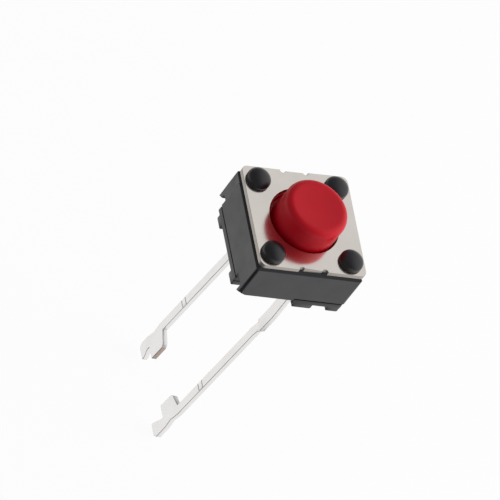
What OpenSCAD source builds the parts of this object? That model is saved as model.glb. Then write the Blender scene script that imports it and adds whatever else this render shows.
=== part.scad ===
// Tactile push button switch for a circuit board, with two long stamped leads.
// The board's top face is z = 0 and the housing's axis is +Z.
// +Y runs from the front lead to the back lead, and the leads' wide faces look along X.

/* [Housing] */
// Width and depth of the square moulded base
body_w = 6.0; // [5.9:0.1:9]
// Height of the cover's top face above the board
body_h = 3.5; // [3.3:0.1:6]
// Thickness of the walls round the cavity, halfway along a side
wall_t = 0.82; // [0.81:0.01:0.9]
// Radius of the four upright corners
corner_r = 0.17; // [0.05:0.01:0.3]
// Chamfer round the top rim, under the cover
rim_cut = 0.28; // [0.05:0.01:0.3]
// Gap between the board and the sole, which the feet stand across
standoff = 0.48; // [0.4:0.01:0.7]
// Height of the sole's edge below the groove
sole_h = 0.32; // [0.25:0.01:0.35]
// How far the sole stands back from the walls
sole_inset = 0.04; // [0.01:0.01:0.08]
// Height of the groove between the walls and the sole
groove_h = 0.12; // [0.05:0.01:0.15]
// Depth of that groove
groove_d = 0.1; // [0.09:0.01:0.16]
// How far the sole is set back where the leads come out
setback = 0.42; // [0.3:0.01:0.45]
// Where that setback ends, from the middle of the wall
setback_end = 0.12; // [0.02:0.01:0.3]
// How far the wall reaches down in front of the setback
skirt_h = 0.17; // [0.05:0.01:0.25]
// Thickness of the wall there
skirt_t = 0.1; // [0.05:0.01:0.1]
// Length over which it rises to the corner
skirt_rise = 0.4; // [0.2:0.01:0.6]
// Thickness of the floor under the cavity
floor_t = 0.82; // [0.75:0.01:0.95]

/* [Feet and notches] */
// Length of the wide foot on the front wall
wide_foot_w = 1.06; // [0.8:0.01:1.2]
// Place of the wide foot, from the middle of the wall
wide_foot_at = 0.88; // [0.7:0.01:0.95]
// Length of the narrow feet
narrow_foot_w = 0.66; // [0.6:0.01:0.7]
// Distance of the corner foot from the side wall
corner_foot_inset = 0.08; // [0.05:0.01:0.2]
// Distance of the side walls' feet from the front and back walls
side_foot_inset = 1.01; // [0.8:0.01:1.3]
// How far a foot reaches in from the wall
foot_depth = 0.55; // [0.5:0.01:0.6]
// Rounding of a foot's lower edges
foot_round = 0.22; // [0.05:0.01:0.24]
// Setback of the feet from the wall
foot_inset = 0.08; // [0.05:0.01:0.2]
// Height of the notches in the side walls' lower edge
notch_h = 0.26; // [0.1:0.01:0.3]
// Depth of the notches into the wall
notch_depth = 0.5; // [0.3:0.01:0.6]
// Distance of the near notch from the front wall
near_notch_inset = 0.35; // [0.3:0.01:0.4]
// Length of the near notch
near_notch_w = 0.65; // [0.4:0.01:0.7]
// Distance of the far notch from the back wall
far_notch_inset = 0.32; // [0.25:0.01:0.4]
// Length of the far notch
far_notch_w = 0.38; // [0.2:0.01:0.5]
// How far the hooks under the corners reach down
hook_drop = 0.33; // [0.2:0.01:0.4]
// Length of a hook along the wall
hook_reach = 0.45; // [0.4:0.01:0.6]
// Thickness of the hooks
hook_t = 0.3; // [0.2:0.01:0.4]
// Width of the drafted band at the far end of the side walls
band_w = 0.75; // [0.6:0.01:1]
// How far that band leans in at its foot
band_lean = 0.12; // [0.03:0.01:0.15]

/* [Staked posts] */
// Distance from a post's axis to the walls
post_inset = 0.8; // [0.77:0.01:0.83]
// Diameter of a post's shank through the cover
post_d = 1.1; // [0.9:0.01:1.15]
// How far the staked head stands out past the shank
head_lip = 0.09; // [0.06:0.01:0.12]
// Height of the head's upright side
head_side = 0.15; // [0.05:0.01:0.3]
// Height of the head's dome above its side
head_dome = 0.36; // [0.2:0.01:0.5]
// Gap between a post's shank and its hole in the cover
post_gap = 0.025; // [0.01:0.005:0.05]

/* [Cover plate] */
// Thickness of the steel cover
cover_t = 0.25; // [0.2:0.01:0.35]
// Radius of the cover's corners
cover_corner_r = 0.34; // [0.2:0.01:0.5]
// Width of the cut tie on the front and back edges
tie_w = 1.3; // [0.8:0.1:1.6]
// Setback of the cut tie
tie_cut = 0.07; // [0.03:0.01:0.12]
// Width of the relief nick at each end of the tie
nick_w = 0.3; // [0.2:0.01:0.34]
// Depth of the relief nicks
nick_depth = 0.17; // [0.17:0.01:0.25]

/* [Button] */
// Height of the button's top above the cover when it is released
button_h = 1.5; // [0.8:0.1:9]
// Rounding of the button's top edge
button_rim = 0.38; // [0.1:0.01:0.6]
// Travel of the button
travel = 0.25; // [0.15:0.01:0.35]
// Gap between the flange and the cavity's wall
flange_gap = 0.11; // [0.1:0.01:0.13]
// How far the button's flange reaches under the cover
flange_lip = 0.14; // [0.12:0.01:0.2]
// Gap between the button and its hole in the cover
button_gap = 0.19; // [0.15:0.01:0.25]
// Thickness of the flange
flange_t = 0.4; // [0.3:0.01:0.6]
// Diameter of the plunger that presses the dome
plunger_d = 1.6; // [1:0.1:2]
// Where the button rests within its side play, along X
play_x = 0.07; // [-0.07:0.01:0.07]
// Where the button rests within its side play, along Y
play_y = -0.06; // [-0.07:0.01:0.07]

/* [Snap dome] */
// Thickness of the dome's spring sheet
dome_t = 0.06; // [0.04:0.01:0.08]
// Gap between the dome's rim and the cavity's wall
dome_gap = 0.15; // [0.12:0.01:0.2]

/* [Contacts] */
// Thickness of the stamped sheet
sheet_t = 0.28; // [0.2:0.01:0.3]
// How far the outer contact reaches out past the dome's rim
ring_lip = 0.05; // [0.02:0.01:0.08]
// Diameter of the centre contact
pad_d = 1.4; // [1:0.1:1.6]
// Gap between the centre contact and the outer contact
pad_gap = 0.53; // [0.3:0.01:0.6]
// Width of the strips that join the contacts to the leads
strip_w = 0.6; // [0.4:0.01:0.7]
// Gap between the centre contact's strip and the outer contact
strip_gap = 0.2; // [0.15:0.01:0.25]
// Inner radius of the bend between strip and lead
bend_r = 0.1; // [0.06:0.01:0.12]

/* [Leads] */
// Distance from a lead's centre line to the wall behind it
lead_inset = 0.5; // [0.5:0.01:0.53]
// How far the front lead reaches below the board
lead_length = 12.8; // [6:0.1:20]
// How much shorter the back lead's toe is
back_toe_cut = 0.25; // [0:0.01:0.3]
// Width of a lead's upper part
lead_top_w = 0.66; // [0.6:0.01:0.66]
// Width of a lead's lower part
lead_w = 0.47; // [0.4:0.01:0.5]
// How far the upper part is wider on the side towards the other lead
inner_step = 0.045; // [0.01:0.005:0.05]
// How far below the board the leads narrow
shoulder_drop = 2.3; // [1.5:0.1:3]
// Height over which they narrow
shoulder_h = 0.3; // [0.1:0.01:0.5]
// Length of the pressed ramp below the shoulder
ramp_h = 0.65; // [0.4:0.01:0.8]
// Depth of that ramp at its upper end
ramp_depth = 0.1; // [0.04:0.01:0.12]
// How far below the board the leads start to lean
lean_drop = 1.1; // [0:0.1:1.4]
// Lean of the front lead in degrees
front_lean = 4.6; // [0:0.1:5]
// Lean of the back lead in degrees
back_lean = 4.3; // [0:0.1:5]
// How far below the board a faint pressed line crosses the leads
press_drop = 8.3; // [4:0.1:9]
// Height of the pressed line
press_h = 0.35; // [0.2:0.01:0.5]
// Depth of the pressed line
press_depth = 0.01; // [0.01:0.005:0.03]

/* [Lead ends] */
// Height of the end tab's top above the lead's tip
tab_rise = 2.3; // [2:0.01:2.6]
// Height of the end tab
tab_h = 1.25; // [0.9:0.01:1.4]
// Reach of the end tab from the lead's centre line
tab_reach = 1.08; // [0.7:0.01:1.2]
// Rounding of the tab's upper corner
tab_round = 0.32; // [0.1:0.01:0.4]
// How much the tab's upper edge rises towards the lead
tab_slope = 0.15; // [0:0.01:0.3]
// Reach of the neck below the tab
neck_reach = 0.4; // [0.3:0.01:0.5]
// Depth of the hollow in the outer side, opposite the tab
hollow_depth = 0.1; // [0.02:0.01:0.15]
// Reach of the toe
toe_reach = 0.62; // [0.5:0.01:0.7]
// Height of the toe's straight end
toe_h = 0.2; // [0.1:0.01:0.3]

/* [Hidden] */
$fn = 96;

// Spare length that a cutting solid runs past the face it cuts
over = 1;
// Running gap between the flange and the cover
flange_slack = 0.02;
// Gap between the plunger and the dome
dome_slack = 0.01;

half_w = body_w / 2;
rim_z = body_h - cover_t;
groove_z = standoff + sole_h;
wall_z = groove_z + groove_h;
floor_z = standoff + floor_t;
post_at = half_w - post_inset;
lead_at = half_w - lead_inset;
cavity_d = body_w - 2 * wall_t;
flange_d = cavity_d - 2 * flange_gap;
hole_d = flange_d - 2 * flange_lip;
button_d = hole_d - 2 * button_gap;
dome_d = cavity_d - 2 * dome_gap;
ring_outer_d = dome_d + 2 * ring_lip;
ring_inner_d = pad_d + 2 * pad_gap;
strip_x = sheet_t / 2 + bend_r;
// Distance from a lead's centre line to the outer side of its upper part
top_out = lead_top_w - lead_w / 2 - inner_step;
near_notch_y = -half_w + near_notch_inset;
far_notch_y = half_w - far_notch_inset - far_notch_w;

// A rectangle with round corners, measured from its lower left corner
module round_rectangle(size, r) {
    translate([r, 0]) square([size.x - 2 * r, size.y]);
    translate([0, r]) square([size.x, size.y - 2 * r]);
    for (x = [r, size.x - r], y = [r, size.y - r]) translate([x, y]) circle(r);
}

// A centred square with round corners
module round_square(w, r) {
    translate([-w / 2, -w / 2]) round_rectangle([w, w], r);
}

// Stands an outline up, so that its x runs along X and its y along Z, and runs it along Y
module along_y(length) {
    translate([0, length / 2, 0]) rotate([90, 0, 0]) linear_extrude(length) children();
}

module along_x(length) {
    rotate(90) along_y(length) children();
}

module at_posts() {
    for (x = [-post_at, post_at], y = [-post_at, post_at]) translate([x, y]) children();
}

// The back wall is made like the front wall, and the right wall like the left wall
module front_and_back() {
    children();
    mirror([0, 1, 0]) children();
}

module left_and_right() {
    children();
    mirror([1, 0, 0]) children();
}

// The upright walls with their skirts and hooks, and their top rim chamfered under the cover
module walls() {
    intersection() {
        union() {
            translate([-half_w, -half_w, wall_z]) cube([body_w, body_w, rim_z - wall_z]);
            front_and_back() skirt();
            left_and_right() {
                hook(-half_w);
                hook(far_notch_y + far_notch_w);
            }
        }
        linear_extrude(rim_z) round_square(body_w, corner_r);
        along_y(body_w) rim_profile();
        along_x(body_w) rim_profile();
    }
}

module rim_profile() {
    low = rim_z - rim_cut;
    translate([-half_w, 0]) square([body_w, low]);
    polygon([[-half_w, low], [half_w, low], [half_w - rim_cut, rim_z], [-half_w + rim_cut, rim_z]]);
}

// The front wall's lower edge in front of the lead
module skirt() {
    low = wall_z - skirt_h;
    translate([0, -half_w + skirt_t / 2, 0]) along_y(skirt_t)
        polygon([[-half_w, wall_z], [-half_w + skirt_rise, low], [setback_end, low],
                 [setback_end, wall_z]]);
}

// A pointed hook under a side wall, which starts at start_y and points towards +Y
module hook(start_y) {
    root = wall_z + hook_drop / 2;
    tip = start_y + hook_reach;
    translate([-half_w + hook_t / 2, 0, 0]) along_x(hook_t)
        polygon([[start_y, wall_z], [tip, wall_z - hook_drop], [tip - hook_t / 2, root], [start_y, root]]);
}

// The sole, and the groove's neck between it and the walls
module sole() {
    translate([0, 0, standoff]) linear_extrude(sole_h) sole_outline(sole_inset);
    translate([0, 0, groove_z]) linear_extrude(groove_h) sole_outline(groove_d);
}

module sole_outline(inset) {
    difference() {
        round_square(body_w - 2 * inset, corner_r);
        front_and_back() translate([-half_w - over, -half_w - over])
            square([half_w + over + setback_end + inset, over + setback + inset]);
    }
}

// A foot under the front wall: a block with round lower edges, rooted in the sole
module foot(w) {
    h = groove_z + foot_round;
    y = -half_w + foot_inset;
    intersection() {
        translate([0, y + foot_depth / 2, 0]) along_y(foot_depth)
            translate([-w / 2, 0]) round_rectangle([w, h], foot_round);
        along_x(w) translate([y, 0]) round_rectangle([foot_depth, h], foot_round);
        linear_extrude(groove_z) square(body_w, center = true);
    }
}

module feet() {
    side_foot_y = half_w - side_foot_inset - narrow_foot_w / 2;
    front_and_back() {
        translate([wide_foot_at, 0, 0]) foot(wide_foot_w);
        translate([half_w - corner_foot_inset - narrow_foot_w / 2, 0, 0]) foot(narrow_foot_w);
    }
    left_and_right() for (y = [-side_foot_y, side_foot_y])
        rotate(-90) translate([-y, 0, 0]) foot(narrow_foot_w);
}

// Two notches in the lower edge of a side wall, and the drafted band at its far end
module side_cuts() {
    translate([-half_w - over, near_notch_y, 0]) cube([over + notch_depth, near_notch_w, wall_z + notch_h]);
    translate([-half_w - over, far_notch_y, 0]) cube([over + notch_depth, far_notch_w, wall_z + notch_h]);
    translate([0, half_w - band_w + body_w / 2, 0]) along_y(body_w) polygon([
        [-half_w - over, 0], [-half_w + band_lean, 0], [-half_w + band_lean, wall_z],
        [-half_w, rim_z], [-half_w - over, rim_z]]);
}

// A post goes up through the cover, and its head is staked down on the cover's top
module post() {
    head_r = post_d / 2 + head_lip;
    dome_r = (head_r * head_r + head_dome * head_dome) / (2 * head_dome);
    translate([0, 0, floor_z]) cylinder(h = body_h - floor_z, d = post_d);
    translate([0, 0, body_h]) intersection() {
        cylinder(h = head_side + head_dome + over, r = head_r);
        union() {
            cylinder(h = head_side, r = head_r);
            translate([0, 0, head_side + head_dome - dome_r]) sphere(dome_r);
        }
    }
}

module base() {
    color("#333336") difference() {
        union() {
            difference() {
                union() {
                    walls();
                    sole();
                }
                left_and_right() side_cuts();
            }
            feet();
            at_posts() post();
        }
        translate([0, 0, floor_z]) cylinder(h = body_h, d = cavity_d);
        outer_terminal();
        centre_terminal();
    }
}

// The cover is a flat stamping, held down by the four posts
module cover_plate() {
    color("#c8c3be") translate([0, 0, rim_z]) linear_extrude(cover_t) difference() {
        round_square(body_w, cover_corner_r);
        circle(d = hole_d);
        at_posts() circle(d = post_d + 2 * post_gap);
        front_and_back() tie_cuts();
    }
}

// Where the cover was cut off its strip: a low setback, with a nick at each end
module tie_cuts() {
    nick_r = nick_w / 2;
    translate([-tie_w / 2, -half_w - over]) square([tie_w, over + tie_cut]);
    for (x = [-tie_w / 2, tie_w / 2]) translate([x, -half_w]) {
        translate([-nick_r, -over]) square([nick_w, over + nick_depth - nick_r]);
        translate([0, nick_depth - nick_r]) circle(nick_r);
    }
}

// The button: a cap through the cover, a flange that keeps it in and a plunger on the dome
module button() {
    flange_top = rim_z - flange_slack;
    plunger_z = floor_z + travel + dome_t + dome_slack;
    cap_r = button_d / 2;
    cap_h = body_h + button_h - flange_top;
    color("#b01822") translate([play_x, play_y, 0]) rotate_extrude() {
        translate([0, plunger_z]) square([plunger_d / 2, flange_top - plunger_z]);
        translate([0, flange_top - flange_t]) square([flange_d / 2, flange_t]);
        translate([0, flange_top]) {
            square([cap_r, cap_h - button_rim]);
            square([cap_r - button_rim, cap_h]);
            translate([cap_r - button_rim, cap_h - button_rim]) circle(button_rim);
        }
    }
}

// The snap dome: a shallow cap of spring sheet, whose rim stands on the outer contact
module contact_dome() {
    r = dome_d / 2;
    curve_r = (r * r + travel * travel) / (2 * travel);
    color("#b9b9b4") translate([0, 0, floor_z]) intersection() {
        translate([0, 0, travel - curve_r]) difference() {
            sphere(curve_r + dome_t, $fn = 256);
            sphere(curve_r, $fn = 256);
        }
        cylinder(h = travel + dome_t + over, r = r);
    }
}

// A flat part of the contact sheet, level with the cavity's floor
module sheet() {
    translate([0, 0, floor_z - sheet_t]) linear_extrude(sheet_t) children();
}

// The outer contact: a ring under the dome's rim, open where the centre strip goes through
module outer_terminal() {
    color("#d9d6d2") {
        sheet() {
            difference() {
                circle(d = ring_outer_d);
                circle(d = ring_inner_d);
                translate([-sheet_t / 2 - strip_gap, 0])
                    square([sheet_t / 2 + strip_x + strip_w + 2 * strip_gap, body_w]);
            }
            strip(-(ring_outer_d + ring_inner_d) / 4);
        }
        translate([0, -lead_at, 0]) lead(front_lean, 0);
    }
}

// The centre contact: a pad under the dome's crown
module centre_terminal() {
    color("#d9d6d2") mirror([0, 1, 0]) {
        sheet() {
            circle(d = pad_d);
            strip(0);
        }
        translate([0, -lead_at, 0]) lead(back_lean, back_toe_cut);
    }
}

// A strip from a contact, which ends at end_y, to the lead's bend, where it is as wide as the lead
module strip(end_y) {
    translate([strip_x, -lead_at]) square([strip_w, end_y + lead_at]);
    translate([strip_x, -lead_at - top_out]) square([strip_w, lead_top_w]);
}

// A lead, from its bend at the contact sheet down to its tip, with its end tab towards +Y
module lead(lean, toe_cut) {
    bend_z = floor_z - sheet_t - bend_r;
    face = -sheet_t / 2;
    translate([0, lead_top_w / 2 - top_out, 0]) {
        translate([0, 0, bend_z]) bend();
        translate([face, -lead_top_w / 2, -lean_drop]) cube([sheet_t, lead_top_w, bend_z + lean_drop]);
        translate([0, 0, -lean_drop]) along_y(lead_top_w) circle(d = sheet_t);
    }
    translate([0, 0, -lean_drop]) rotate([0, lean, 0]) difference() {
        translate([face, 0, 0]) rotate([90, 0, 90]) linear_extrude(sheet_t) lead_outline(toe_cut);
        along_y(body_w) translate([face, lean_drop - shoulder_drop])
            polygon([[-over, 0], [ramp_depth, 0], [0, -ramp_h], [-over, -ramp_h]]);
        along_y(body_w) translate([face - over, lean_drop - press_drop])
            square([over + press_depth, press_h]);
    }
}

// A quarter turn of sheet about an axis along Y
module bend() {
    r = bend_r + sheet_t;
    translate([strip_x, 0, 0]) along_y(lead_top_w) intersection() {
        difference() {
            circle(r);
            circle(bend_r);
        }
        translate([-r, 0]) square(r);
    }
}

// A lead's flat outline where it leans: x is towards the other lead, and y is up
module lead_outline(toe_cut) {
    w = lead_w / 2;
    tip = lean_drop - lead_length;
    toe = tip + toe_cut;
    shoulder = lean_drop - shoulder_drop;
    tab_top = tip + tab_rise;
    tab_low = tab_top - tab_h;
    difference() {
        union() {
            translate([-top_out, shoulder]) square([lead_top_w, -shoulder]);
            polygon([[-top_out, shoulder], [w + inner_step, shoulder], [w, shoulder - shoulder_h],
                     [-w, shoulder - shoulder_h]]);
            translate([-w, toe + toe_h]) square([lead_w, shoulder - shoulder_h - toe - toe_h]);
        }
        polygon([[-w, tab_top], [-w + hollow_depth, tab_low + tab_h / 2], [-w, tab_low],
                 [-w - over, tab_low], [-w - over, tab_top]]);
    }
    translate([0, tab_low]) {
        square([tab_reach, tab_h - tab_round]);
        translate([tab_reach - tab_round, tab_h - tab_round]) circle(tab_round);
        polygon([[0, 0], [tab_reach - tab_round, 0], [tab_reach - tab_round, tab_h], [w, tab_h + tab_slope],
                 [0, tab_h + tab_slope]]);
    }
    polygon([[0, tab_low], [neck_reach, tab_low], [neck_reach, tab_low - toe_h], [toe_reach, toe + toe_h],
             [toe_reach, toe], [-w + toe_h, toe], [-w, toe + toe_h], [0, toe + toe_h]]);
}

base();
cover_plate();
button();
contact_dome();
outer_terminal();
centre_terminal();
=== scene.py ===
"""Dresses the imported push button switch: soft edges, a turned button and staked heads, and its finishes."""

import math

import bpy
from mathutils import Matrix, Vector


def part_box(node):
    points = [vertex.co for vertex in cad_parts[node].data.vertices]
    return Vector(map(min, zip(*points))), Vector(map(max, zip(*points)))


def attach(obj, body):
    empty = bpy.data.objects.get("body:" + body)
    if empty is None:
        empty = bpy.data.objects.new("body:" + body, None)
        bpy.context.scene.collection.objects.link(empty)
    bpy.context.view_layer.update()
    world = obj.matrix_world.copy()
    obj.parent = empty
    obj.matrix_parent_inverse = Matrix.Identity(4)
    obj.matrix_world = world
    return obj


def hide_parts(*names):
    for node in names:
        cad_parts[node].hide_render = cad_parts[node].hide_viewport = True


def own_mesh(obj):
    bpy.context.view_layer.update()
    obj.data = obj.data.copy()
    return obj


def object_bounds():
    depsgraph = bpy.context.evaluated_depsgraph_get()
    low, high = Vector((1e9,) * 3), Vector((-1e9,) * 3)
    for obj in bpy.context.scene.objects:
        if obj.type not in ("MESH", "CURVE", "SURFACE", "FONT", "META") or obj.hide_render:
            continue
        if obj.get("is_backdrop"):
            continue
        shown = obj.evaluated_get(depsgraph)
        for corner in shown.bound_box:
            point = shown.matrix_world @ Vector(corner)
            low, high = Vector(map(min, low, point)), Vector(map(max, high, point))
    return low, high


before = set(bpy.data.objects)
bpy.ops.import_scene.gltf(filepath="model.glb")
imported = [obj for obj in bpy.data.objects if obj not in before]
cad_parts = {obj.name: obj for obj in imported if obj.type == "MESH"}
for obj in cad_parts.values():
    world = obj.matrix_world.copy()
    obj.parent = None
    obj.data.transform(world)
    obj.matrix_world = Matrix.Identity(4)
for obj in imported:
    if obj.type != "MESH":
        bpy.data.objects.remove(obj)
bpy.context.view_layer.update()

bl_info = {
    "name": "Push button switch",
    "version": (1, 0, 0),
    "blender": (4, 5, 0),
    "location": "View3D > Sidebar > Switch",
    "description": "Dresses a small push button switch and lights it on a pale floor",
    "category": "Object",
}

MM = 0.001

# Where the pieces are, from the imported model
COVER_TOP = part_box("cover_plate")[1].z
HEADS_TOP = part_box("base")[1].z
BUTTON_LOW, BUTTON_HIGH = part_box("button")

# The tabs' end faces are nearer to the middle than this, and below this height
TAB_END = 1.6 * MM
TAB_TOP = -9 * MM

# How much of its normal a face has along an axis that it looks along: a tab's end, a flat side of the cover
SQUARE_FACE = 0.9
FLAT_FACE = 0.95

# Points nearer than this are one point, and faces that turn less than this are one face
SAME_POINT = 0.0005 * MM
SAME_FACE = math.radians(0.5)

# Points this near to the plane of a cut lie on it
CUT_THRESHOLD = 0.0001 * MM

# Edges sharper than the first are rounded, and those softer than the second are shaded smooth
ROUNDED_ANGLE = math.radians(30)
SMOOTH_ANGLE = math.radians(35)

# The middle range of a noise texture, which a finish spreads over its colours and its roughness
NOISE_LOW = 0.3
NOISE_HIGH = 0.7


class SwitchSizes(bpy.types.PropertyGroup):
    """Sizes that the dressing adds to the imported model."""

    plastic_edge: bpy.props.FloatProperty(
        name="Plastic edge", description="Rounding of the moulded housing's edges",
        default=0.025 * MM, unit="LENGTH", precision=6)
    cover_edge: bpy.props.FloatProperty(
        name="Cover edge", description="Rounding of the cover's blanked edges",
        default=0.02 * MM, unit="LENGTH", precision=6)
    cover_merge: bpy.props.FloatProperty(
        name="Cover merge", description="Nearer points of the cover are made one before it is rounded",
        default=0.024 * MM, unit="LENGTH", precision=6)
    lead_edge: bpy.props.FloatProperty(
        name="Lead edge", description="Rounding of the stamped leads' edges",
        default=0.028 * MM, unit="LENGTH", precision=6)
    head_radius: bpy.props.FloatProperty(
        name="Head radius", description="Radius of a staked head on the cover",
        default=0.64 * MM, unit="LENGTH", precision=6)
    head_place: bpy.props.FloatProperty(
        name="Head place", description="Distance of the staked heads from the middle, along X and along Y",
        default=2.2 * MM, unit="LENGTH", precision=6)
    head_side: bpy.props.FloatProperty(
        name="Head side", description="Height of a staked head's upright side",
        default=0.13 * MM, unit="LENGTH", precision=6)
    root_radius: bpy.props.FloatProperty(
        name="Root radius", description="Radius of a head's root, inside its post",
        default=0.45 * MM, unit="LENGTH", precision=6)
    root_depth: bpy.props.FloatProperty(
        name="Root depth", description="How far a head's root goes down into its post",
        default=0.1 * MM, unit="LENGTH", precision=6)
    cap_radius: bpy.props.FloatProperty(
        name="Cap radius", description="Radius of the part of the button that comes through the cover",
        default=1.74 * MM, unit="LENGTH", precision=6)
    cap_rim: bpy.props.FloatProperty(
        name="Cap rim", description="Rounding of the button's top edge",
        default=0.38 * MM, unit="LENGTH", precision=6)
    cap_dish: bpy.props.FloatProperty(
        name="Cap dish", description="Depth of the shallow dish in the button's top",
        default=0.05 * MM, unit="LENGTH", precision=6)
    plunger_radius: bpy.props.FloatProperty(
        name="Plunger radius", description="Radius of the button's plunger, inside the housing",
        default=0.8 * MM, unit="LENGTH", precision=6)
    flange_top: bpy.props.FloatProperty(
        name="Flange top", description="Height of the button's flange, under the cover",
        default=3.23 * MM, unit="LENGTH", precision=6)
    flange_height: bpy.props.FloatProperty(
        name="Flange height", description="Thickness of the button's flange",
        default=0.4 * MM, unit="LENGTH", precision=6)
    groove_depth: bpy.props.FloatProperty(
        name="Groove depth", description="Depth of the moulded groove round the cap's foot",
        default=0.3 * MM, unit="LENGTH", precision=6)
    groove_width: bpy.props.FloatProperty(
        name="Groove width", description="Width of the moulded groove round the cap's foot",
        default=0.2 * MM, unit="LENGTH", precision=6)


class SwitchColours(bpy.types.PropertyGroup):
    """Colours of the finishes, as sRGB hex values."""

    plastic: bpy.props.StringProperty(
        name="Plastic", description="Dark grey filled moulding of the housing", default="#16161b")
    cover: bpy.props.StringProperty(
        name="Cover", description="Plain plated steel of the cover", default="#ede6e0")
    button: bpy.props.StringProperty(
        name="Button", description="Red moulding of the button", default="#d40420")
    tin: bpy.props.StringProperty(
        name="Tin", description="Tinned sheet of the leads", default="#f0eeed")
    sheared: bpy.props.StringProperty(
        name="Sheared end", description="Bare metal where the end tabs were sheared off", default="#cbb8ad")
    blanked: bpy.props.StringProperty(
        name="Blanked edge", description="Torn steel round the cover's blanked edges", default="#c2bab3")
    spring: bpy.props.StringProperty(
        name="Spring", description="Stainless spring sheet of the snap dome", default="#c4c3bf")
    board: bpy.props.StringProperty(
        name="Board", description="White board that the switch is shown on", default="#f2f2f2")


def linear(hex_colour):
    """Linear RGBA of an sRGB hex colour."""
    def channel(start):
        value = int(hex_colour[start:start + 2], 16) / 255
        return value / 12.92 if value <= 0.04045 else ((value + 0.055) / 1.055) ** 2.4
    return (channel(1), channel(3), channel(5), 1.0)


def add_node(tree, kind, settings=None, values=None, links=None):
    """Adds a node, sets its attributes and socket values, and links sockets to other nodes' outputs."""
    node = tree.nodes.new(kind)
    for name, value in (settings or {}).items():
        setattr(node, name, value)
    for socket, value in (values or {}).items():
        node.inputs[socket].default_value = value
    for socket, output in (links or {}).items():
        tree.links.new(output, node.inputs[socket])
    return node


def new_material(name):
    """An empty material and its node tree."""
    material = bpy.data.materials.new(name)
    material.use_nodes = True
    material.node_tree.nodes.clear()
    return material, material.node_tree


def shade(hex_colour, factor):
    """A hex colour made lighter or darker by a factor on each channel."""
    parts = [int(hex_colour[i:i + 2], 16) for i in (1, 3, 5)]
    return "#" + "".join(f"{max(0, min(255, round(p * factor))):02x}" for p in parts)


def grained_finish(
        name, dark, light, roughness, broad_mm, broad_detail, fine_mm, fine_detail,
        bump_strength, bump_mm, values):
    """A material whose colour and roughness drift with a broad grain, over the bumps of a fine one.

    The fine grains are drawn about a pixel wide, coarser than the real skins, so that they show.
    """
    material, tree = new_material(name)
    place = add_node(tree, "ShaderNodeTexCoord").outputs["Object"]
    broad = add_node(
        tree, "ShaderNodeTexNoise",
        values={"Scale": 1 / (broad_mm * MM), "Detail": broad_detail}, links={"Vector": place})
    fine = add_node(
        tree, "ShaderNodeTexNoise",
        values={"Scale": 1 / (fine_mm * MM), "Detail": fine_detail}, links={"Vector": place})
    colour = add_node(tree, "ShaderNodeValToRGB", links={"Fac": broad.outputs[0]})
    first, last = colour.color_ramp.elements
    first.position, first.color = NOISE_LOW, linear(dark)
    last.position, last.color = NOISE_HIGH, linear(light)
    skin = add_node(
        tree, "ShaderNodeMapRange",
        values={
            "From Min": NOISE_LOW, "From Max": NOISE_HIGH,
            "To Min": roughness[0], "To Max": roughness[1],
        },
        links={"Value": broad.outputs[0]})
    bumps = add_node(
        tree, "ShaderNodeBump",
        values={"Strength": bump_strength, "Distance": bump_mm * MM}, links={"Height": fine.outputs[0]})
    shader = add_node(
        tree, "ShaderNodeBsdfPrincipled", values=values,
        links={
            "Base Color": colour.outputs[0],
            "Roughness": skin.outputs[0],
            "Normal": bumps.outputs[0],
        })
    add_node(tree, "ShaderNodeOutputMaterial", links={"Surface": shader.outputs[0]})
    return material


def filled_moulding(colours):
    """Glass-filled moulding: nearly black, with a satin skin that looks grey where it mirrors white."""
    return grained_finish(
        "glass_filled_moulding",
        dark=shade(colours.plastic, 0.6), light=shade(colours.plastic, 1.4), roughness=(0.3, 0.42),
        broad_mm=0.9, broad_detail=4, fine_mm=0.06, fine_detail=3,
        bump_strength=0.2, bump_mm=0.003, values={"IOR": 1.56})


def plated_steel(colours):
    """Plated cold-rolled steel: a satin skin that mirrors near things softly."""
    return grained_finish(
        "plated_sheet_steel",
        dark=shade(colours.cover, 0.96), light=colours.cover, roughness=(0.13, 0.18),
        broad_mm=1.4, broad_detail=5, fine_mm=0.05, fine_detail=3,
        bump_strength=0.15, bump_mm=0.002, values={"Metallic": 1.0})


def red_moulding(colours):
    """Unfilled moulding of the button: even red with a soft matte skin."""
    return grained_finish(
        "red_moulded_acetal",
        dark=shade(colours.button, 0.95), light=colours.button, roughness=(0.42, 0.5),
        broad_mm=1.1, broad_detail=4, fine_mm=0.08, fine_detail=3,
        bump_strength=0.2, bump_mm=0.003, values={"IOR": 1.48, "Specular IOR Level": 0.31})


def tinned_sheet(colours):
    """Tinned brass sheet: bright and satin, with a faint cloudy plating."""
    return grained_finish(
        "tinned_sheet",
        dark=shade(colours.tin, 0.95), light=colours.tin, roughness=(0.26, 0.36),
        broad_mm=0.7, broad_detail=4, fine_mm=0.05, fine_detail=3,
        bump_strength=0.08, bump_mm=0.002, values={"Metallic": 1.0})


def torn_metal(name, hex_colour):
    """Bare metal where the press sheared it: duller than the sheet's face, with one grain for all of it."""
    return grained_finish(
        name,
        dark=shade(hex_colour, 0.85), light=hex_colour, roughness=(0.4, 0.55),
        broad_mm=0.08, broad_detail=4, fine_mm=0.08, fine_detail=4,
        bump_strength=0.4, bump_mm=0.01, values={"Metallic": 1.0})


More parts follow.
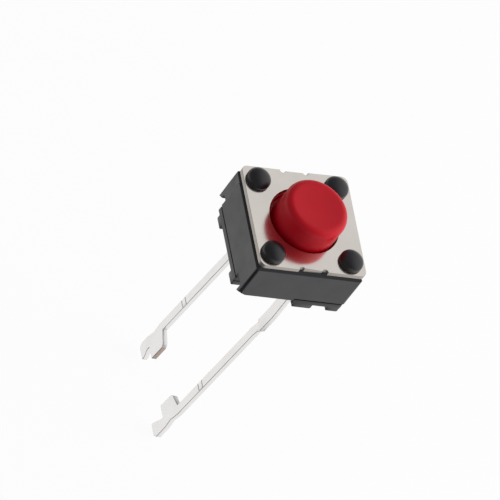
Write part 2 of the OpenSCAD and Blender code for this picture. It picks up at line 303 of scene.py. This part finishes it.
def spring_sheet(colours):
    """Stainless spring sheet of the dome, smooth from the press: only its roughness drifts."""
    grain_mm, low_roughness, high_roughness = 0.8, 0.18, 0.26
    material, tree = new_material("stainless_spring_sheet")
    place = add_node(tree, "ShaderNodeTexCoord")
    drift = add_node(
        tree, "ShaderNodeTexNoise",
        values={"Scale": 1 / (grain_mm * MM), "Detail": 3}, links={"Vector": place.outputs["Object"]})
    skin = add_node(
        tree, "ShaderNodeMapRange",
        values={
            "From Min": NOISE_LOW, "From Max": NOISE_HIGH,
            "To Min": low_roughness, "To Max": high_roughness,
        },
        links={"Value": drift.outputs[0]})
    shader = add_node(
        tree, "ShaderNodeBsdfPrincipled",
        values={"Metallic": 1.0, "Base Color": linear(colours.spring)},
        links={"Roughness": skin.outputs[0]})
    add_node(tree, "ShaderNodeOutputMaterial", links={"Surface": shader.outputs[0]})
    return material


def deselect_all():
    """Leaves edit mode and deselects every object."""
    if bpy.context.object and bpy.context.object.mode == "EDIT":
        bpy.ops.object.mode_set(mode="OBJECT")
    bpy.ops.object.select_all(action="DESELECT")


def make_active(piece):
    """Selects one piece alone."""
    deselect_all()
    piece.select_set(True)
    bpy.context.view_layer.objects.active = piece


def arc(centre, radius, start_deg, end_deg, steps):
    """Points (radius, height) of an arc round centre, after its start."""
    turns = [math.radians(start_deg + (end_deg - start_deg) * i / steps) for i in range(1, steps + 1)]
    return [(centre[0] + radius * math.cos(t), centre[1] + radius * math.sin(t)) for t in turns]


def turned(name, axis, profile, vertices):
    """A turned piece: a disc, extruded and scaled through the profile's (radius, height) points."""
    deselect_all()
    first_radius, first_height = profile[0]
    bpy.ops.mesh.primitive_circle_add(
        vertices=vertices, radius=first_radius, fill_type="NGON",
        location=(axis[0], axis[1], first_height))
    piece = bpy.context.object
    piece.name = name
    bpy.ops.object.mode_set(mode="EDIT")
    for (radius, height), (next_radius, next_height) in zip(profile, profile[1:]):
        bpy.ops.mesh.extrude_region_move(
            TRANSFORM_OT_translate={"value": (0, 0, next_height - height)})
        scale = next_radius / radius
        bpy.ops.transform.resize(
            value=(scale, scale, 1), center_override=(axis[0], axis[1], next_height))
    bpy.ops.mesh.select_all(action="SELECT")
    bpy.ops.mesh.normals_make_consistent(inside=False)
    bpy.ops.object.mode_set(mode="OBJECT")
    return piece


def apply_bevel(piece, width, segments):
    """Rounds a piece's sharp edges."""
    make_active(piece)
    modifier = piece.modifiers.new("edges", "BEVEL")
    modifier.limit_method = "ANGLE"
    modifier.angle_limit = ROUNDED_ANGLE
    modifier.width = width
    modifier.segments = segments
    modifier.use_clamp_overlap = False
    bpy.ops.object.modifier_apply(modifier=modifier.name)


def finish_piece(piece, materials, body, has_second=None):
    """Smooths and dresses a piece; faces that has_second picks take the second material."""
    make_active(piece)
    bpy.ops.object.transform_apply(location=True, rotation=True, scale=True)
    bpy.ops.object.shade_smooth_by_angle(angle=SMOOTH_ANGLE)
    weighted = piece.modifiers.new("normals", "WEIGHTED_NORMAL")
    weighted.keep_sharp = True
    bpy.ops.object.modifier_apply(modifier=weighted.name)
    piece.data.materials.clear()
    for material in materials:
        piece.data.materials.append(material)
    for face in piece.data.polygons:
        face.material_index = 1 if has_second and has_second(face) else 0
    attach(piece, body)


def copy_of_node(node, name, merge=SAME_POINT):
    """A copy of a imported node, merged into clean flat faces."""
    piece = bpy.data.objects.new(name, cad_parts[node].data.copy())
    bpy.context.scene.collection.objects.link(piece)
    make_active(piece)
    bpy.ops.object.mode_set(mode="EDIT")
    bpy.ops.mesh.select_all(action="SELECT")
    bpy.ops.mesh.remove_doubles(threshold=merge)
    bpy.ops.mesh.dissolve_limited(angle_limit=SAME_FACE)
    bpy.ops.object.mode_set(mode="OBJECT")
    return piece


def cut_at(piece, height):
    """Cuts away what is above a height and closes the piece there."""
    make_active(piece)
    bpy.ops.object.mode_set(mode="EDIT")
    bpy.ops.mesh.select_all(action="SELECT")
    bpy.ops.mesh.bisect(
        plane_co=(0, 0, height), plane_no=(0, 0, 1), clear_outer=True, use_fill=True,
        threshold=CUT_THRESHOLD)
    bpy.ops.object.mode_set(mode="OBJECT")


def staked_head(sizes, x, y):
    """A post's head: a root inside the post, an upright side on the cover, and a round top."""
    radius = sizes.head_radius
    side_top = COVER_TOP + sizes.head_side
    profile = [
        (sizes.root_radius, COVER_TOP - sizes.root_depth),
        (sizes.root_radius, COVER_TOP),
        (radius, COVER_TOP),
        (radius, side_top),
    ]
    steps = 14
    for i in range(1, steps):
        turn = math.radians(90 * i / steps)
        profile.append((radius * math.cos(turn), side_top + (HEADS_TOP - side_top) * math.sin(turn)))
    return turned("head", (x, y), profile, vertices=48)


class SWITCH_OT_housing(bpy.types.Operator):
    """Softens the edges of the moulded housing, rounds its staked heads and gives it its skin"""

    bl_idname = "switch.housing"
    bl_label = "Housing"

    def execute(self, context):
        sizes, colours = context.scene.switch_sizes, context.scene.switch_colours
        piece = copy_of_node("base", "moulded_housing")
        cut_at(piece, COVER_TOP - sizes.root_depth / 2)
        apply_bevel(piece, sizes.plastic_edge, segments=2)
        place = sizes.head_place
        heads = [staked_head(sizes, x, y) for x in (-place, place) for y in (-place, place)]
        make_active(piece)
        for head in heads:
            head.select_set(True)
        bpy.ops.object.join()
        finish_piece(piece, [filled_moulding(colours)], "housing")
        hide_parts("base")
        return {"FINISHED"}


def is_blanked_edge(face):
    """All of the cover but its two flat sides."""
    return abs(face.normal.z) < FLAT_FACE


class SWITCH_OT_cover(bpy.types.Operator):
    """Rounds the blanked edges of the steel cover"""

    bl_idname = "switch.cover"
    bl_label = "Cover"

    def execute(self, context):
        sizes, colours = context.scene.switch_sizes, context.scene.switch_colours
        piece = copy_of_node("cover_plate", "steel_cover", merge=sizes.cover_merge)
        apply_bevel(piece, sizes.cover_edge, segments=3)
        materials = [plated_steel(colours), torn_metal("blanked_steel_edge", colours.blanked)]
        finish_piece(piece, materials, "housing", is_blanked_edge)
        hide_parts("cover_plate")
        return {"FINISHED"}


class SWITCH_OT_button(bpy.types.Operator):
    """Turns the red button with its rounded rim and shallow dish"""

    bl_idname = "switch.button"
    bl_label = "Button"

    def execute(self, context):
        sizes, colours = context.scene.switch_sizes, context.scene.switch_colours
        axis = (BUTTON_LOW + BUTTON_HIGH) / 2
        flange_radius = (BUTTON_HIGH.x - BUTTON_LOW.x) / 2
        radius, rim, top = sizes.cap_radius, sizes.cap_rim, BUTTON_HIGH.z
        profile = [
            (sizes.plunger_radius, BUTTON_LOW.z),
            (sizes.plunger_radius, sizes.flange_top - sizes.flange_height),
            (flange_radius, sizes.flange_top - sizes.flange_height),
            (flange_radius, sizes.flange_top),
            (radius + sizes.groove_width, sizes.flange_top),
            (radius + sizes.groove_width, sizes.flange_top - sizes.groove_depth),
            (radius, sizes.flange_top - sizes.groove_depth),
            (radius, top - rim),
        ]
        profile += arc((radius - rim, top - rim), rim, start_deg=0, end_deg=90, steps=10)
        dish_radius = radius - rim
        rings = 12
        for i in range(1, rings):
            share = 1 - i / rings
            profile.append((dish_radius * share, top - sizes.cap_dish * (1 - share ** 2)))
        piece = turned("push_button", axis, profile, vertices=128)
        finish_piece(piece, [red_moulding(colours)], "button")
        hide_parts("button")
        return {"FINISHED"}


def is_sheared_end(face):
    """The end face of a lead's tab, which looks at the other lead."""
    looks_inwards = face.normal.y * face.center.y < 0 and abs(face.normal.y) > SQUARE_FACE
    return looks_inwards and abs(face.center.y) < TAB_END and face.center.z < TAB_TOP


class SWITCH_OT_leads(bpy.types.Operator):
    """Softens the stamped edges of both terminals"""

    bl_idname = "switch.leads"
    bl_label = "Leads"

    def execute(self, context):
        sizes, colours = context.scene.switch_sizes, context.scene.switch_colours
        materials = [tinned_sheet(colours), torn_metal("sheared_bare_brass", colours.sheared)]
        for node, name in (("outer_terminal", "front_lead"), ("centre_terminal", "back_lead")):
            piece = copy_of_node(node, name)
            apply_bevel(piece, sizes.lead_edge, segments=3)
            finish_piece(piece, materials, "housing", is_sheared_end)
            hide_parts(node)
        return {"FINISHED"}


class SWITCH_OT_dome(bpy.types.Operator):
    """Gives the snap dome its finish, on a mesh of its own"""

    bl_idname = "switch.dome"
    bl_label = "Snap dome"

    def execute(self, context):
        piece = copy_of_node("contact_dome", "snap_dome")
        finish_piece(
            piece, [spring_sheet(context.scene.switch_colours)], "housing")
        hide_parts("contact_dome")
        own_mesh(piece)
        return {"FINISHED"}


# The photograph's camera: angles in degrees and the width that the frame covers
CAMERA_AZIMUTH = 41.092
CAMERA_ELEVATION = 46.276
CAMERA_ROLL = 38.861
FRAME_WIDTH = 25.09 * MM
FRAME_RIGHT = -1.2055 * MM
FRAME_UP = 0.43 * MM
CAMERA_DISTANCE = 200 * MM
CLIP_START = 1 * MM
CLIP_END = 2000 * MM

# The white board below the switch, and the share of its look that is its own white light
FLOOR_SIZE = 1200 * MM
FLOOR_GAP = 0.02 * MM
FLOOR_WHITE = 0.95

# The studio's light: directions from the switch, and levels where 1 is white
KEY_DIRECTION = (0.85, -0.22, 0.5)
KEY_DISTANCE = 90 * MM
KEY_SIZE = 80 * MM
KEY_WATTS = 0.045
TABLE_DARK = (-0.6, -0.48, -0.64)
TABLE_DIM = 0.08
TABLE_LEVEL = 1.0
UNDER_SHADE = 0.3
ROOM_LIGHT = (0.9, 0.0, 0.4)
ROOM_LEVEL = 1.0
ROOM_DIM = 0.25
HORIZON_BLUR = 0.1


def camera_axes():
    """The image's right and up, and the way back to the camera, in the switch's frame."""
    azimuth, elevation = math.radians(CAMERA_AZIMUTH), math.radians(CAMERA_ELEVATION)
    back = Vector((-math.cos(elevation) * math.sin(azimuth),
                   -math.cos(elevation) * math.cos(azimuth), math.sin(elevation)))
    level = Vector((math.cos(azimuth), -math.sin(azimuth), 0))
    upright = back.cross(level)
    roll = math.radians(CAMERA_ROLL)
    right = level * math.cos(roll) + upright * math.sin(roll)
    return right, back.cross(right), back


def floor_material(colours):
    """White board that keeps the switch's faint shadow, and that only the camera sees, from above."""
    material, tree = new_material("white_board")
    board = add_node(tree, "ShaderNodeBsdfDiffuse", values={"Color": linear(colours.board)})
    white = add_node(tree, "ShaderNodeEmission", values={"Strength": 1.0})
    clear = add_node(tree, "ShaderNodeBsdfTransparent")
    path = add_node(tree, "ShaderNodeLightPath")
    side = add_node(tree, "ShaderNodeNewGeometry")
    above = add_node(
        tree, "ShaderNodeMixShader",
        values={"Fac": FLOOR_WHITE}, links={1: board.outputs[0], 2: white.outputs[0]})
    seen = add_node(
        tree, "ShaderNodeMixShader",
        links={"Fac": side.outputs["Backfacing"], 1: above.outputs[0], 2: clear.outputs[0]})
    mixed = add_node(
        tree, "ShaderNodeMixShader",
        links={"Fac": path.outputs["Is Camera Ray"], 1: clear.outputs[0], 2: seen.outputs[0]})
    add_node(tree, "ShaderNodeOutputMaterial", links={"Surface": mixed.outputs[0]})
    return material


def fade(tree, source, direction, near_deg, far_deg, near_level, far_level):
    """near_level within near_deg of a direction, which turns to far_level by far_deg from it."""
    aim = add_node(
        tree, "ShaderNodeVectorMath", settings={"operation": "DOT_PRODUCT"},
        values={1: Vector(direction).normalized()}, links={0: source})
    return add_node(
        tree, "ShaderNodeMapRange", settings={"interpolation_type": "SMOOTHSTEP"},
        values={
            "From Min": math.cos(math.radians(near_deg)), "From Max": math.cos(math.radians(far_deg)),
            "To Min": near_level, "To Max": far_level,
        },
        links={"Value": aim.outputs["Value"]})


def studio_world():
    """A pale table, dark at the camera's left and straight below, in a room lightest at its right."""
    world = bpy.data.worlds.new("studio")
    world.use_nodes = True
    tree = world.node_tree
    tree.nodes.clear()
    place = add_node(tree, "ShaderNodeTexCoord").outputs["Generated"]
    lit_table = fade(
        tree, place, TABLE_DARK, near_deg=20, far_deg=55, near_level=TABLE_DIM, far_level=TABLE_LEVEL)
    under = fade(tree, place, (0, 0, -1), near_deg=15, far_deg=40, near_level=UNDER_SHADE, far_level=1)
    table = add_node(
        tree, "ShaderNodeMath", settings={"operation": "MULTIPLY"},
        links={0: lit_table.outputs[0], 1: under.outputs[0]})
    room = fade(
        tree, place, ROOM_LIGHT, near_deg=20, far_deg=70, near_level=ROOM_LEVEL, far_level=ROOM_DIM)
    height = add_node(tree, "ShaderNodeSeparateXYZ", links={0: place})
    above = add_node(
        tree, "ShaderNodeMapRange", values={"From Min": -HORIZON_BLUR, "From Max": HORIZON_BLUR},
        links={"Value": height.outputs["Z"]})
    level = add_node(
        tree, "ShaderNodeMix",
        links={"Factor": above.outputs[0], "A": table.outputs[0], "B": room.outputs[0]})
    around = add_node(
        tree, "ShaderNodeBackground",
        values={"Color": (1, 1, 1, 1)}, links={"Strength": level.outputs[0]})
    white = add_node(tree, "ShaderNodeBackground", values={"Color": (1, 1, 1, 1), "Strength": 1.0})
    path = add_node(tree, "ShaderNodeLightPath")
    mixed = add_node(
        tree, "ShaderNodeMixShader",
        links={"Fac": path.outputs["Is Camera Ray"], 1: around.outputs[0], 2: white.outputs[0]})
    add_node(tree, "ShaderNodeOutputWorld", links={"Surface": mixed.outputs[0]})
    return world


def add_softbox(name, direction, distance, size, watts):
    """A square soft lamp that faces the switch, and that nothing mirrors."""
    light = bpy.data.lights.new(name, "AREA")
    light.shape = "SQUARE"
    light.size = size
    light.energy = watts
    lamp = bpy.data.objects.new(name, light)
    lamp.location = direction.normalized() * distance
    lamp.rotation_euler = direction.to_track_quat("Z", "Y").to_euler()
    lamp.visible_glossy = False
    bpy.context.scene.collection.objects.link(lamp)


class SWITCH_OT_stage(bpy.types.Operator):
    """Sets the white board, the soft lights and the photograph's camera"""

    bl_idname = "switch.stage"
    bl_label = "Stage"

    def execute(self, context):
        scene = context.scene
        right, up, back = camera_axes()
        deselect_all()
        bpy.ops.mesh.primitive_plane_add(
            size=FLOOR_SIZE, location=(0, 0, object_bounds()[0].z - FLOOR_GAP))
        floor = context.object
        floor.name = "floor"
        floor.data.materials.append(floor_material(scene.switch_colours))
        floor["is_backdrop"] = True

        add_softbox("key", Vector(KEY_DIRECTION), KEY_DISTANCE, KEY_SIZE, KEY_WATTS)
        scene.world = studio_world()

        data = bpy.data.cameras.new("photo_camera")
        data.type = "ORTHO"
        data.ortho_scale = FRAME_WIDTH
        data.clip_start = CLIP_START
        data.clip_end = CLIP_END
        camera = bpy.data.objects.new("photo_camera", data)
        target = right * FRAME_RIGHT + up * FRAME_UP
        turn = Matrix((right, up, back)).transposed()
        camera.matrix_world = Matrix.Translation(target + back * CAMERA_DISTANCE) @ turn.to_4x4()
        scene.collection.objects.link(camera)
        scene.camera = camera
        scene.view_settings.view_transform = "Standard"
        return {"FINISHED"}


class SWITCH_PT_panel(bpy.types.Panel):
    """Lists the steps, their sizes and their colours"""

    bl_idname = "SWITCH_PT_panel"
    bl_label = "Push button switch"
    bl_space_type = "VIEW_3D"
    bl_region_type = "UI"
    bl_category = "Switch"

    def draw(self, context):
        for operator in OPERATORS:
            self.layout.operator(operator.bl_idname)
        for group in (context.scene.switch_sizes, context.scene.switch_colours):
            for name in group.__annotations__:
                self.layout.prop(group, name)


OPERATORS = (
    SWITCH_OT_housing,
    SWITCH_OT_cover,
    SWITCH_OT_button,
    SWITCH_OT_leads,
    SWITCH_OT_dome,
    SWITCH_OT_stage,
)
CLASSES = (SwitchSizes, SwitchColours, *OPERATORS, SWITCH_PT_panel)


def register():
    for cls in CLASSES:
        bpy.utils.register_class(cls)
    bpy.types.Scene.switch_sizes = bpy.props.PointerProperty(type=SwitchSizes)
    bpy.types.Scene.switch_colours = bpy.props.PointerProperty(type=SwitchColours)


def unregister():
    del bpy.types.Scene.switch_colours
    del bpy.types.Scene.switch_sizes
    for cls in reversed(CLASSES):
        bpy.utils.unregister_class(cls)


def main():
    register()
    bpy.ops.switch.housing()
    bpy.ops.switch.cover()
    bpy.ops.switch.button()
    bpy.ops.switch.leads()
    bpy.ops.switch.dome()
    bpy.ops.switch.stage()


if __name__ == "__main__":
    main()
